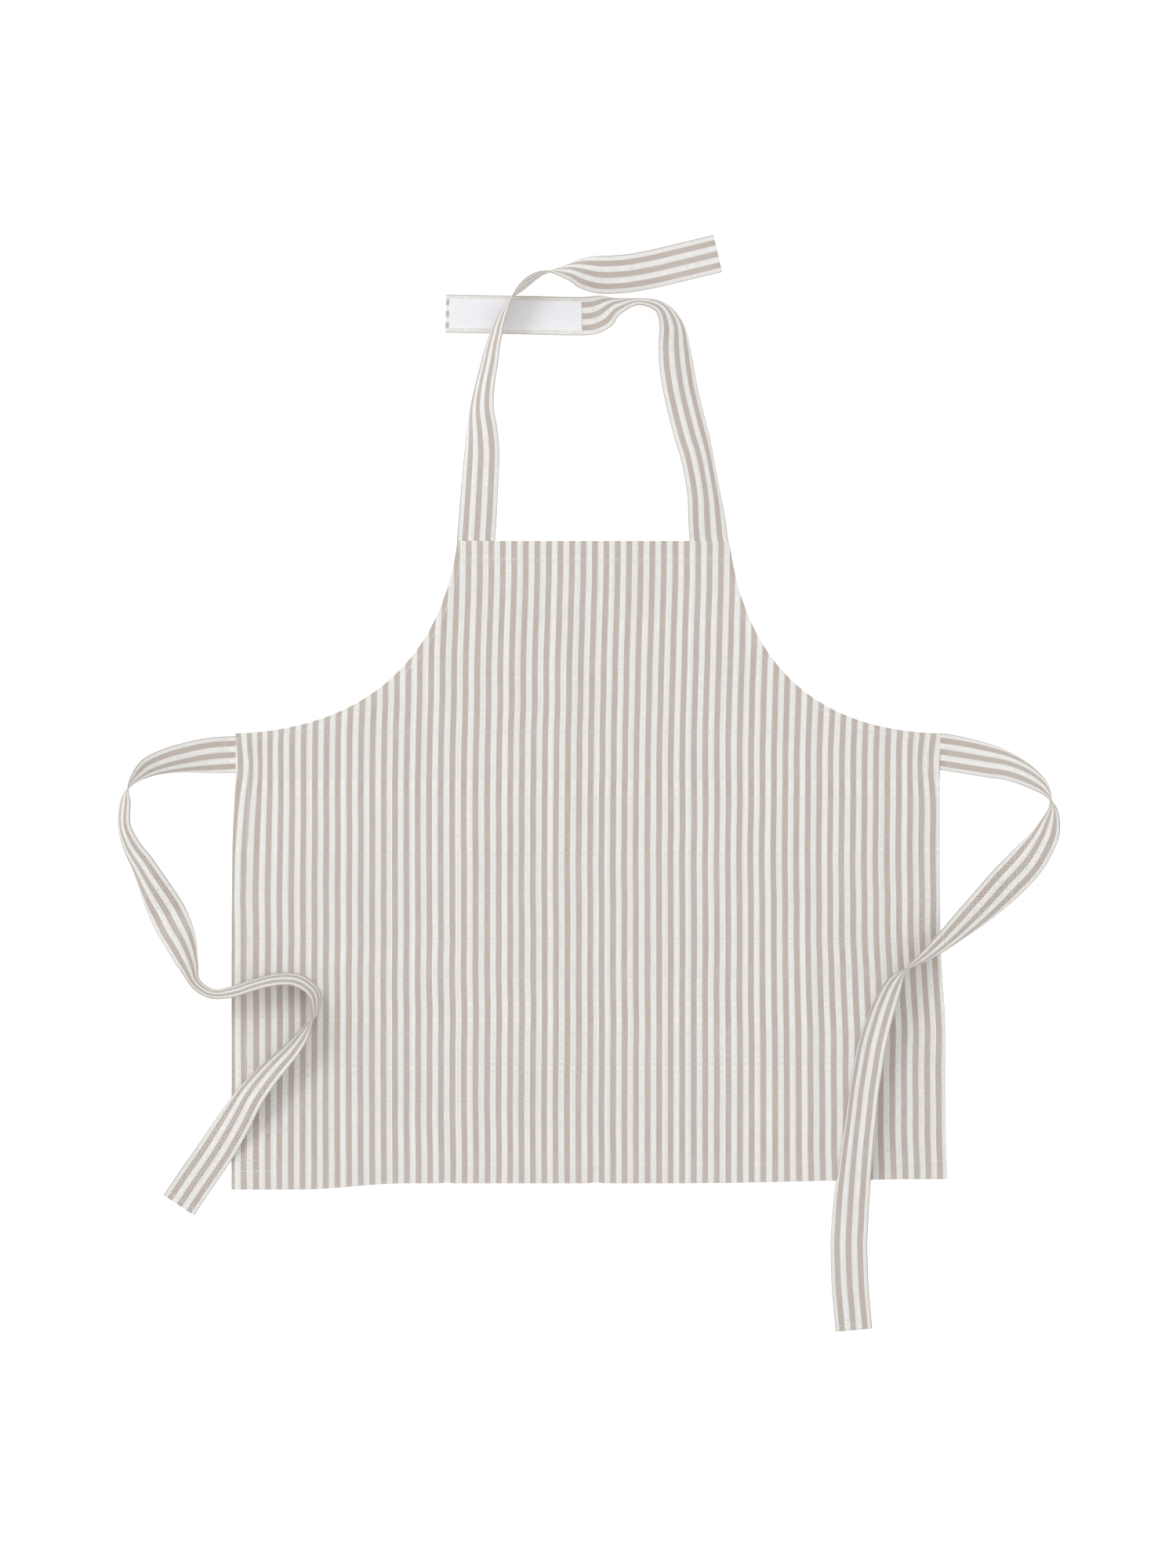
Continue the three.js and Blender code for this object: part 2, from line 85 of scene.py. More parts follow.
add_light("key_light", (-1.15, 1.05, 1.9), 0.8, 14, (0.97, 0.985, 1.0))
add_light("fill_light", (0.6, -0.5, 2.4), 2.2, 8, (1.0, 0.99, 0.975))
world = bpy.data.worlds.new("daylight")
world.use_nodes = True
world.node_tree.nodes["Background"].inputs["Color"].default_value = (1, 0.985, 0.965, 1)
world.node_tree.nodes["Background"].inputs["Strength"].default_value = 0.84
bpy.context.scene.world = world


class Socket:
    """A socket of a shader, so that shader maths is written as an expression."""

    def __init__(self, finish, socket):
        self.finish = finish
        self.socket = socket

    def math(self, operation, *others):
        """This value put through a Math node, with the others after it."""
        return self.finish.node("ShaderNodeMath", {"operation": operation}, [self, *others])

    def reflected(self, operation, other):
        """The same with the other value first."""
        return self.finish.node("ShaderNodeMath", {"operation": operation}, [other, self])

    def __add__(self, other):
        return self.math("ADD", other)

    def __sub__(self, other):
        return self.math("SUBTRACT", other)

    def __mul__(self, other):
        return self.math("MULTIPLY", other)

    def __truediv__(self, other):
        return self.math("DIVIDE", other)

    def __rsub__(self, other):
        return self.reflected("SUBTRACT", other)

    __radd__ = __add__
    __rmul__ = __mul__

    def clamped(self):
        """This value kept between 0 and 1."""
        return self.finish.node("ShaderNodeClamp", {}, [self])


class Finish:
    """One material: its name, its surface's plain values, and the nodes that feed it."""

    def __init__(self, name, **surface):
        self.material = bpy.data.materials.new(name)
        self.material.use_nodes = True
        self.tree = self.material.node_tree
        self.surface = self.tree.nodes["Principled BSDF"]
        for socket, value in surface.items():
            self.surface.inputs[socket.replace("_", " ")].default_value = value

    def node(self, kind, settings, inputs, output=0):
        """A node of that kind, with its settings, and a value or a link for each socket."""
        made = self.tree.nodes.new(kind)
        for setting, value in settings.items():
            setattr(made, setting, value)
        for key, value in inputs.items() if isinstance(inputs, dict) else enumerate(inputs):
            if isinstance(value, Socket):
                self.tree.links.new(value.socket, made.inputs[key])
            else:
                made.inputs[key].default_value = value
        return Socket(self, made.outputs[output])

    def mix(self, share, low, high, blend="MIX"):
        """One colour turning into another as share goes from 0 to 1."""
        kind = {"data_type": "RGBA", "blend_type": blend}
        return self.node("ShaderNodeMix", kind, {0: share, 6: low, 7: high}, output=2)

    def noise(self, place, scale, detail=2.0):
        """Smooth noise about 0.5, its spots 1 / scale of a metre across."""
        inputs = {"Vector": place, "Scale": scale, "Detail": detail}
        return self.node("ShaderNodeTexNoise", {}, inputs)

    def feed(self, socket, value):
        """Links a value to a socket of the surface."""
        self.tree.links.new(value.socket, self.surface.inputs[socket])

    def bump(self, height, depth, strength=1.0):
        """Tilts the surface's normal as a relief of that height would."""
        inputs = {"Height": height, "Distance": depth, "Strength": strength}
        self.feed("Normal", self.node("ShaderNodeBump", {}, inputs))


def add_surface(name, points, faces, finish, cloth=None):
    """A smooth-shaded mesh. cloth gives each point's place on its flat cloth, as a UV map."""
    mesh = bpy.data.meshes.new(name)
    mesh.from_pydata(points.reshape(-1, 3).tolist(), [], [list(map(int, f)) for f in faces])
    mesh.polygons.foreach_set("use_smooth", np.ones(len(mesh.polygons), bool))
    if cloth is not None:
        corners = np.zeros(len(mesh.loops), np.int32)
        mesh.loops.foreach_get("vertex_index", corners)
        layer = mesh.uv_layers.new(name="cloth")
        layer.data.foreach_set("uv", cloth.reshape(-1, 2)[corners].astype(np.float32).ravel())
    mesh.materials.append(finish.material)
    piece = bpy.data.objects.new(name, mesh)
    bpy.context.scene.collection.objects.link(piece)
    return piece


floor_half = 30.0
floor_finish = Finish("white_floor", Base_Color=(0.72, 0.72, 0.72, 1), Roughness=1.0)
floor_finish.surface.inputs["Specular IOR Level"].default_value = 0
floor_finish.surface.inputs["Emission Color"].default_value = (1, 1, 1, 1)
floor_finish.surface.inputs["Emission Strength"].default_value = 0.52
floor_corners = np.array([[-1, -1, 0], [1, -1, 0], [1, 1, 0], [-1, 1, 0]]) * floor_half
floor_corners[:, 2] = -0.2 * MM
add_surface("floor", floor_corners, [[0, 1, 2, 3]], floor_finish)

# ---- The canvas
# A plain weave of cotton: six taupe and six off-white warp threads in turn, crossed by an
# off-white weft. Every piece of cloth here has a UV map in metres, U across the warp.

stripe_pitch = 7.788 * MM
threads_per_pitch = 12
warp_pitch = stripe_pitch / threads_per_pitch
weft_pitch = 0.64 * MM
white_yarn = (0.885, 0.88, 0.865, 1)
taupe_yarn = (0.270, 0.163, 0.105, 1)
taupe_yarn_pale = (0.345, 0.226, 0.156, 1)


def make_canvas():
    """The canvas: each thread is a rounded dome where it passes over, with painted shade where it dips.
    """
    canvas = Finish("striped_canvas", Roughness=0.92, Sheen_Weight=0.12)
    canvas.surface.inputs["Sheen Roughness"].default_value = 0.45
    canvas.surface.inputs["Specular IOR Level"].default_value = 0.22
    cloth = canvas.node("ShaderNodeUVMap", {"uv_map": "cloth"}, {})
    across = canvas.node("ShaderNodeSeparateXYZ", {}, [cloth])
    along = Socket(canvas, across.socket.node.outputs[1])
    sway = canvas.noise(cloth, 420, 1.0) - 0.5
    u = across / warp_pitch + 0.55 * sway
    v = along / weft_pitch + 0.45 * (canvas.noise(cloth, 380, 1.0) - 0.5)
    crossing = (u * math.pi).math("SINE") * (v * math.pi).math("SINE")
    dome = crossing.math("ABSOLUTE").math("SQRT")
    stripe = ((u / threads_per_pitch + 0.5).math("FRACT") - 0.5).math("ABSOLUTE")
    taupe = ((0.25 - stripe) * 40 + 0.5).clamped()
    warp_tone = canvas.node("ShaderNodeTexWhiteNoise", {"noise_dimensions": "1D"},
                            {"W": u.math("FLOOR")})
    weft_tone = canvas.node("ShaderNodeTexWhiteNoise", {"noise_dimensions": "1D"},
                            {"W": v.math("FLOOR") + 0.37})
    slub = canvas.noise(cloth, 900, 2.0)
    uneven = 0.9 * (weft_tone - 0.5) + 0.5 * (warp_tone - 0.5) + 1.2 * (slub - 0.5)
    warp_over = (crossing * 3.2 + 0.6 + uneven).clamped()
    dye = canvas.mix((canvas.noise(cloth, 75, 2.0) * 2.2 - 0.6 + 0.3 * (warp_tone - 0.5)).clamped(),
                     taupe_yarn, taupe_yarn_pale)
    warp = canvas.mix(taupe, white_yarn, dye)
    yarn = canvas.mix(warp_over, white_yarn, warp)
    # Broad lighter and darker patches over the cloth, from smooth noise.
    broad_mottle = canvas.noise(cloth, 22, 3.0)
    # Painted shade: the colour is darker where the threads dip between crossings (the dome term); the
    # other terms are the yarns' own uneven tone.
    light = 0.73 + 0.25 * dome + 0.10 * (weft_tone - 0.5) + 0.09 * (warp_tone - 0.5)
    light = light + 0.24 * (slub - 0.5) + 0.07 * (broad_mottle - 0.5)
    painted_shade_and_tone = canvas.node("ShaderNodeCombineXYZ", {}, [light, light, light])
    canvas.feed("Base Color", canvas.mix(1.0, yarn, painted_shade_and_tone, "MULTIPLY"))
    canvas.feed("Roughness", 0.86 + 0.1 * slub)
    canvas.bump(dome + 0.5 * (slub - 0.5), 0.13 * MM, 0.75)
    return canvas


canvas = make_canvas()

# ---- The panel and its turned hems
# One piece of canvas, its edges turned under twice, so it is three layers thick at its edges
# and one inside them, where it sinks to the table. The straps' and ties' ends lie under it.

cloth_thickness = 0.5 * MM
hem_thickness = 1.0 * MM
panel_low, panel_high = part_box("body_panel")
left, bottom, right, top = panel_low.x, panel_low.y, panel_high.x, panel_high.y
waist_y = 34.5 * MM
stitch_inset = 1.5 * MM
row_low, row_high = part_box("top_hem_stitches")
bib_left, bib_right = row_low.x - stitch_inset, row_high.x + stitch_inset
top_hem_depth = 14 * MM
bottom_hem_depth = 14 * MM
side_hem_depth = 11 * MM
armhole_hem_depth = 5.6 * MM
armhole_drop = 78 * MM
armhole_flare = 10 * MM
armhole_reach = 91.5 * MM
armhole_rise = 2 * MM


def armhole_line(side, count):
    """An armhole's edge from the bib's corner to the waist: a cubic curve with two handles,
    steep at the corner and almost level at the waist, in steps of equal length."""
    corner = np.array([bib_left if side < 0 else bib_right, top])
    waist = np.array([left if side < 0 else right, waist_y])
    steep = corner + [side * armhole_flare, -armhole_drop]
    level = waist + [-side * armhole_reach, armhole_rise]
    t = np.linspace(0, 1, 2000)[:, None]
    fine = (1 - t) ** 3 * corner + 3 * (1 - t) ** 2 * t * steep
    fine = fine + 3 * (1 - t) * t**2 * level + t**3 * waist
    reached = np.r_[0, np.cumsum(np.hypot(*np.diff(fine, axis=0).T))]
    even = np.linspace(0, reached[-1], count)
    return np.c_[np.interp(even, reached, fine[:, 0]), np.interp(even, reached, fine[:, 1])]


left_armhole = armhole_line(-1, 80)
right_armhole = armhole_line(1, 80)


def smooth(low, high, x):
    """0 below low and 1 above high, with a smooth rise between them."""
    share = np.clip((x - low) / (high - low), 0, 1)
    return share * share * (3 - 2 * share)


def bell(x, middle, width):
    """A bump of height 1: e to minus the square of the distance from the middle in widths."""
    return np.exp(-(((x - middle) / width) ** 2))


def from_line(line, x, y):
    """The shortest distance from each point to a line of short straight pieces."""
    start, piece = line[:-1], np.diff(line, axis=0)
    dx, dy = x[..., None] - start[:, 0], y[..., None] - start[:, 1]
    share = (dx * piece[:, 0] + dy * piece[:, 1]) / (piece**2).sum(1)
    share = np.clip(share, 0, 1)
    return np.hypot(dx - share * piece[:, 0], dy - share * piece[:, 1]).min(-1)


def from_edges(x, y):
    """Each point's distance from the bottom, the nearer side, the bib's top and an armhole."""
    sides = np.minimum(x - left, right - x)
    armholes = np.minimum(from_line(left_armhole, x, y), from_line(right_armhole, x, y))
    return y - bottom, sides, top - y, armholes


rng = np.random.default_rng(7)
wave_length = rng.uniform(38, 150, 14) * MM
wave_turn = rng.uniform(0, math.pi, 14)
wave_start = rng.uniform(0, 2 * math.pi, 14)
pucker_length = rng.uniform(9, 24, 6) * MM
pucker_start = rng.uniform(0, 2 * math.pi, 6)


def waves(x, y):
    """Gentle waves of the cloth, from 0 to 1: the sum of sines in chance directions."""
    total = np.zeros_like(x)
    for length, turn, start in zip(wave_length, wave_turn, wave_start):
        way = x * math.cos(turn) + y * math.sin(turn)
        total = total + np.sin(2 * math.pi * way / length + start) * (length / (150 * MM)) ** 0.7
    return np.clip(0.5 + total / 7, 0, 1)


def puckers(along):
    """The unevenness that a row of stitches draws into a hem, about -1 to 1 along it."""
    total = np.zeros_like(along)
    for length, start in zip(pucker_length, pucker_start):
        total = total + np.sin(2 * math.pi * along / length + start)
    return total / 3


def hems(x, y):
    """Each point's distance from each edge, with the depth of the hem along that edge."""
    depths = (bottom_hem_depth, side_hem_depth, top_hem_depth, armhole_hem_depth)
    return zip(from_edges(x, y), depths)


def hem_share(x, y):
    """1 over the turned hems and 0 inside them, with the slope of the cloth between."""
    single = np.ones_like(x)
    for away, depth in hems(x, y):
        single = single * smooth(depth - 0.4 * MM, depth + 3.2 * MM, away)
    return 1 - single


def stitch_dent(x, y):
    """The dent along each row of hem stitches, 0 to 1."""
    dent = np.zeros_like(x)
    for away, depth in hems(x, y):
        dent = np.maximum(dent, bell(away, depth - stitch_inset, 0.9 * MM))
    return dent


def panel_height(x, y):
    """The height of the panel's upper face over the table."""
    low, sides, high, armholes = from_edges(x, y)
    hem = hem_share(x, y)
    inside = 0.55 * MM + 0.75 * MM * waves(x, y)
    over_hem = hem_thickness + cloth_thickness - 0.22 * MM * stitch_dent(x, y)
    level_rows = smooth(60 * MM, 0, np.minimum(low, high))
    gather = level_rows * puckers(x) + (1 - level_rows) * puckers(y)
    nearest = np.minimum.reduce([low, sides, high, armholes])
    near_hem = smooth(26 * MM, 6 * MM, nearest)
    return inside + (over_hem - inside) * hem + 0.13 * MM * gather * near_hem


def warped(points):
    """The panel as it lies, not quite square: its foot slopes a little and its lower right
    corner spreads. The bottom edge has two small nicks, and the left side draws in at the
    waist."""
    x, y = points[..., 0], points[..., 1]
    foot = smooth(-120 * MM, bottom, y)
    slope = -4.2 * MM * smooth(-125 * MM, -195 * MM, x) + 2.9 * MM * smooth(60 * MM, 230 * MM, x)
    nick = 0.9 * MM * (bell(x, -96 * MM, 2.2 * MM) + bell(x, 5.6 * MM, 3 * MM))
    spread = -1.1 * MM + 3.9 * MM * smooth(-95 * MM, -175 * MM, y)
    spread = spread + 1.0 * MM * smooth(-235 * MM, bottom, y)
    below_waist = smooth(waist_y + 40 * MM, waist_y - 20 * MM, y)
    moved = points.copy()
    moved[..., 1] = y + foot * slope + nick * smooth(bottom + 30 * MM, bottom, y)
    moved[..., 0] = x + spread * smooth(70 * MM, right, x) * below_waist
    moved[..., 0] -= 0.8 * MM * smooth(-150 * MM, left, x) * smooth(0, -100 * MM, y)
    moved[..., 0] += 1.9 * MM * smooth(left + 40 * MM, left, x) * smooth(-45 * MM, 15 * MM, y)
    return moved


stripe_start = -216.5 * MM
bib_shift = 3.12 * MM


def panel_cloth(x, y):
    """The panel's place on its flat cloth: the stripes drift across the bib, sway a little, and
    are drawn aside where the ties are sewn in."""
    sway = 0.55 * MM * (waves(y * 0.9, x) - 0.5)
    sway = sway + 0.4 * MM * (waves(y * 1.7 + 0.3, x * 0.6) - 0.5)
    drift = bib_shift * smooth(-10 * MM, 175 * MM, y)
    tug = 2.6 * MM * bell(y, 12 * MM, 17 * MM) * smooth(left + 26 * MM, left + 4 * MM, x)
    tug = tug - 2.0 * MM * bell(y, 14 * MM, 19 * MM) * smooth(right - 26 * MM, right - 5 * MM, x)
    tug = tug - 1.0 * MM * smooth(left + 24 * MM, left, x) * smooth(0, -60 * MM, y)
    ease = 0.35 * MM * puckers(y) * stitch_dent(x, y)
    return np.stack([x - stripe_start - drift - tug - sway - ease, y], -1)


edge_steps = np.array([0, 0.1, 0.28, 0.5, 0.8, 1.3, 2.2, 3.6]) * MM


def closed_sheet(upper, lower):
    """Two grids of the same shape, joined round their rims into one closed sheet."""
    rows, columns = upper.shape[:2]
    ids = np.arange(rows * columns).reshape(rows, columns)
    quads = np.stack([ids[:-1, :-1], ids[:-1, 1:], ids[1:, 1:], ids[1:, :-1]], -1).reshape(-1, 4)
    rim = np.r_[ids[0, :], ids[1:, -1], ids[-1, -2::-1], ids[-2:0:-1, 0]]
    after = np.roll(rim, -1)
    walls = np.stack([rim, rim + ids.size, after + ids.size, after], -1)
    faces = np.r_[quads, quads[:, ::-1] + ids.size, walls]
    return np.r_[upper.reshape(-1, 3), lower.reshape(-1, 3)], faces


recess_rim, recess_slope = 0.2 * MM, 0.9 * MM


def sewn_in(x, y):
    """1 where a strap's or tie's end lies under the panel, instead of the hem."""
    share = np.zeros_like(x)
    for node in ("left_neck_strap_sewn_end", "right_neck_strap_sewn_end",
                 "left_waist_tie_sewn_end", "right_waist_tie_sewn_end"):
        low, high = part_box(node)
        near = 1
        for place, start, end in ((x, low.x, high.x), (y, low.y, high.y)):
            near = near * smooth(start - recess_slope, start - recess_rim, place)
            near = near * smooth(end + recess_slope, end + recess_rim, place)
        share = np.maximum(share, near)
    return share


def make_panel():
    """Each warp thread runs straight up from the bottom edge to the edge above it, so a point
    is given by its column across and its share of the way up. The upper face follows
    panel_height, the lower one the table, and both round off to the middle at the edge. Rows
    and columns lie closer together at the edges and beside the stitches of the hems."""
    step = 2.6 * MM
    hem_columns = np.array([5.5, 7.5, 8.7, 9.2, 9.5, 9.8, 10.3, 11, 11.8, 12.8, 14.2, 16]) * MM
    side = np.r_[edge_steps, hem_columns]
    arm_count = int(armhole_length / step)
    arm_left = armhole_line(-1, arm_count)[::-1, 0]
    arm_right = armhole_line(1, arm_count)[:, 0]
    bib = np.linspace(bib_left, bib_right, int((bib_right - bib_left) / step))
    x = np.r_[left + side, arm_left[arm_left > left + side[-1] + MM], bib[1:-1],
              arm_right[arm_right < right - side[-1] - MM], (right - side)[::-1]]
    edge = np.r_[armhole_line(-1, 900)[::-1], armhole_line(1, 900)]
    reach = np.interp(x, edge[:, 0], edge[:, 1])
    row_steps = np.array([11.7, 12.1, 12.5, 12.9, 13.5, 14.2, 15, 16.2, 18]) * MM
    low = np.r_[edge_steps, np.array([5.5, 8, 10.5]) * MM, row_steps]
    armhole_steps = np.array([3, 3.8, 4.1, 4.4, 5, 5.7, 6.6, 8, 10]) * MM
    high = np.r_[edge_steps[:-1], armhole_steps, row_steps]
    middle = np.linspace(0, 1, 132)[1:-1, None]
    foot, head = bottom + low[-1], reach - high[-1]
    y = np.r_[bottom + low[:, None] + 0 * x, foot + middle * (head - foot), reach - high[::-1, None]]
    x = x + 0 * y
    from_edge = np.minimum.reduce([y - bottom, x - left, right - x, top - y,
                                   from_line(left_armhole_fine, x, y),
                                   from_line(right_armhole_fine, x, y)])
    from_edge[[0, -1]] = 0
    upper = panel_height(x, y)
    crease_widths = (0.8 * MM, 0.8 * MM, 0.8 * MM, 1.0 * MM)
    crease = np.maximum.reduce([bell(away, depth, width)
                                for (away, depth), width in zip(hems(x, y), crease_widths)])
    raised = np.maximum(1.02 * MM * sewn_in(x, y), 0.7 * MM * crease)
    lower = np.minimum(raised, upper - 0.42 * MM)
    half = (upper - lower) / 2
    round_ = np.sqrt(np.clip(1 - (1 - np.clip(from_edge / half, 0, 1)) ** 2, 0.004, 1))
    centre = (upper + lower) / 2
    top_grid = warped(np.stack([x, y, centre + half * round_], -1))
    low_grid = warped(np.stack([x, y, centre - half * round_], -1))
    points, faces = closed_sheet(top_grid, low_grid)
    cloth = panel_cloth(x, y).reshape(-1, 2)
    return add_surface("panel_cloth", points, faces, canvas, np.r_[cloth, cloth])


armhole_length = np.hypot(*np.diff(armhole_line(-1, 400), axis=0).T).sum()
left_armhole_fine = armhole_line(-1, 220)
right_armhole_fine = armhole_line(1, 220)
panel = make_panel()
hem_nodes = ["top_hem", "bottom_hem", "left_side_hem", "right_side_hem",
             "left_armhole_hem", "right_armhole_hem"]
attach(panel, "panel")
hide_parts("body_panel", *hem_nodes)

# ---- The stitches of the hems
# White cotton thread. Each stitch is a short rounded bead that rises out of the cloth and goes
# back in; a row is a loop of such beads along its line.

thread_radius = 0.21 * MM
stitch_length = 2.9 * MM
stitch_gap = 0.6 * MM


def make_thread():
    """Two-ply thread: fine slanting ridges, and a tone that changes from stitch to stitch."""
    thread = Finish("sewing_thread", Roughness=0.7, Sheen_Weight=0.1)
    place = thread.node("ShaderNodeTexCoord", {}, {}, output=3)
    ply = thread.node("ShaderNodeTexWave", {"wave_type": "BANDS", "bands_direction": "DIAGONAL"},
                      {"Vector": place, "Scale": 1500, "Distortion": 1.0})
    tone = thread.noise(place, 160)
    thread.feed("Base Color", thread.mix(tone, (0.80, 0.79, 0.76, 1), (0.90, 0.895, 0.875, 1)))
    thread.feed("Roughness", 0.6 + 0.2 * ply)
    thread.bump(ply, 0.05 * MM)
    return thread


thread = make_thread()


def unit(vectors):
    """The vectors, each divided by its own length."""
    return vectors / np.linalg.norm(vectors, axis=-1, keepdims=True)


def add_stitches(name, path, up, nodes, body):
    """A row of stitches along path. Each is a bead of five rings of six points: its middle ring
    is the thickest and the highest, and its ends dip into the cloth. up is the cloth's outward
    direction at each point of the path."""
    reached = np.r_[0, np.cumsum(np.linalg.norm(np.diff(path, axis=0), axis=1))]
    count = max(int(reached[-1] / stitch_length), 1)
    middle = (np.arange(count) + 0.5) * reached[-1] / count

    def at(distance, values):
        """Values along the path, taken between its points."""
        return np.stack([np.interp(distance, reached, values[:, k]) for k in range(3)], -1)

    half = reached[-1] / count / 2 - stitch_gap / 2
    ahead = at(middle + half, path) - at(middle - half, path)
    ahead = unit(ahead)
    out = at(middle, up)
    out = out - (out * ahead).sum(1, keepdims=True) * ahead
    out = unit(out)
    beside = np.cross(out, ahead)
    ring_place = np.array([-1, -0.72, 0, 0.72, 1]) * half
    ring_size = np.array([0.45, 0.9, 1.0, 0.9, 0.45]) * thread_radius
    ring_rise = np.array([-0.9, 0.1, 0.45, 0.1, -0.9]) * thread_radius
    angle = np.arange(6) * math.pi / 3
    centre = at(middle, path)[:, None, None, :]
    points = centre + ahead[:, None, None, :] * ring_place[:, None, None]
    points = points + beside[:, None, None, :] * (ring_size[:, None] * np.cos(angle))[..., None]
    rise = ring_rise[:, None] + ring_size[:, None] * np.sin(angle)
    points = points + out[:, None, None, :] * rise[..., None]
    ids = np.arange(30).reshape(5, 6)
    turned = np.roll(ids, -1, axis=1)
    sides = np.stack([ids[:-1], turned[:-1], turned[1:], ids[1:]], -1).reshape(-1, 4)
    offsets = 30 * np.arange(count)
    faces = (sides + offsets[:, None, None]).reshape(-1, 4)[:, ::-1].tolist()
    faces += (ids[0] + offsets[:, None]).tolist()
    faces += (ids[-1][::-1] + offsets[:, None]).tolist()
    piece = add_surface(name, points.reshape(-1, 3), faces, thread)
    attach(piece, body)
    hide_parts(*nodes)
    return piece


def on_panel(plan):
    """A flat line laid on the panel's upper face."""
    height = panel_height(plan[:, 0], plan[:, 1]) + 0.02 * MM
    return warped(np.c_[plan, height])


def straight(x0, y0, x1, y1):
    """A straight line in steps of about a millimetre."""
    count = max(int(math.hypot(x1 - x0, y1 - y0) / MM), 2)
    return np.c_[np.linspace(x0, x1, count), np.linspace(y0, y1, count)]


def inset_armhole(side, inset):
    """An armhole's line moved into the cloth, from under the top hem's row to the side's."""
    line = armhole_line(side, 240)
    ahead = unit(np.gradient(line, axis=0))
    line = line + inset * np.c_[side * ahead[:, 1], -side * ahead[:, 0]]
    inside = np.abs(line[:, 0] - (left + right) / 2) < (right - left) / 2 - side_hem_depth
    return line[inside & (line[:, 1] < top - top_hem_depth)]


level = np.array([[0, 0, 1.0]])
hem_rows = []
for node in ("top_hem_stitches", "bottom_hem_stitches"):
    low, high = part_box(node)
    y = (low.y + high.y) / 2
    hem_rows.append((node, straight(low.x, y, high.x, y)))
for side, hand in ((-1, "left"), (1, "right")):
    low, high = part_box(f"{hand}_side_hem_stitches")
    x = (low.x + high.x) / 2
    hem_rows.append((f"{hand}_side_hem_stitches", straight(x, low.y, x, high.y)))
    armhole_row = inset_armhole(side, armhole_hem_depth - stitch_inset)
    hem_rows.append((f"{hand}_armhole_stitches", armhole_row))
    for end in ("neck_strap", "waist_tie"):
        low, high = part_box(f"{hand}_{end}_box_stitches")
        frame_line = np.r_[straight(low.x, low.y, high.x, low.y), straight(high.x, low.y, high.x, high.y),
                           straight(high.x, high.y, low.x, high.y), straight(low.x, high.y, low.x, low.y)]
        keep = np.r_[True, np.linalg.norm(np.diff(frame_line, axis=0), axis=1) > 0.01 * MM]
        hem_rows.append((f"{hand}_{end}_box_stitches", frame_line[keep]))

for node, plan in hem_rows:
    upward = level.repeat(len(plan), 0)
    add_stitches(f"{node}_thread", on_panel(plan), upward, [node], "panel")
outline = np.r_[armhole_line(-1, 200), [[left, bottom], [right, bottom]], armhole_line(1, 200)[::-1]]

# ---- The straps and ties
# Each is a strip of the canvas folded into a tube and pressed flat, two layers thick, sewn in
# under the panel at its root. It lies on its edge or its face as it fell, in loops and twists.

ribbon_thickness = 1.0 * MM
seam_gap = 0.3 * MM
ramp_length = 26 * MM
end_hem_depth = 4.5 * MM
steps_per_stop = 10
limpness = 1.15
tie_bend_start, tie_bend_end = 12.5 * MM, 33 * MM
tie_bend_slant = math.pi / 6


def around(stops, k, t):
    """One column of the stops: the four values around each t, and the share between two."""
    i = np.minimum(np.floor(t).astype(int), len(stops) - 2)
    return [stops[np.clip(i + shift, 0, len(stops) - 1), k] for shift in (-1, 0, 1, 2)], t - i


def carried(stops, k, t):
    """A smooth line through the stops (Catmull-Rom)."""
    (a, b, c, d), u = around(stops, k, t)
    return b + u * (c - a + u * (2 * a - 5 * b + 4 * c - d + u * (3 * b - a - 3 * c + d))) / 2


def settled(stops, k, t):
    """The same, never running past a stop's own value: its slopes are harmonic means."""
    (a, b, c, d), u = around(stops, k, t)

    def slope(before, after):
        """The harmonic mean of two rises, or 0 where they go opposite ways."""
        same_way = before * after > 0
        return np.where(same_way, 2 * before * after / np.where(same_way, before + after, 1), 0)

    s0, s1, rise = slope(b - a, c - b), slope(c - b, d - c), c - b
    return b + u * (s0 + u * (3 * rise - 2 * s0 - s1 + u * (s0 + s1 - 2 * rise)))


def curled(width, curl, place, off):
    """A section bent to an arc. place is the way across it, -1 to 1 from its right edge to its
    left; off is the distance out of its front; curl is the angle the arc turns through.
    Returns the distances across and out, from the section's middle."""
    curl = np.where(np.abs(curl) < 1e-3, 1e-3, curl)
    turn = curl * place / 2
    return (width / curl - off) * np.sin(turn), width / curl * (1 - np.cos(turn)) + off * np.cos(turn)


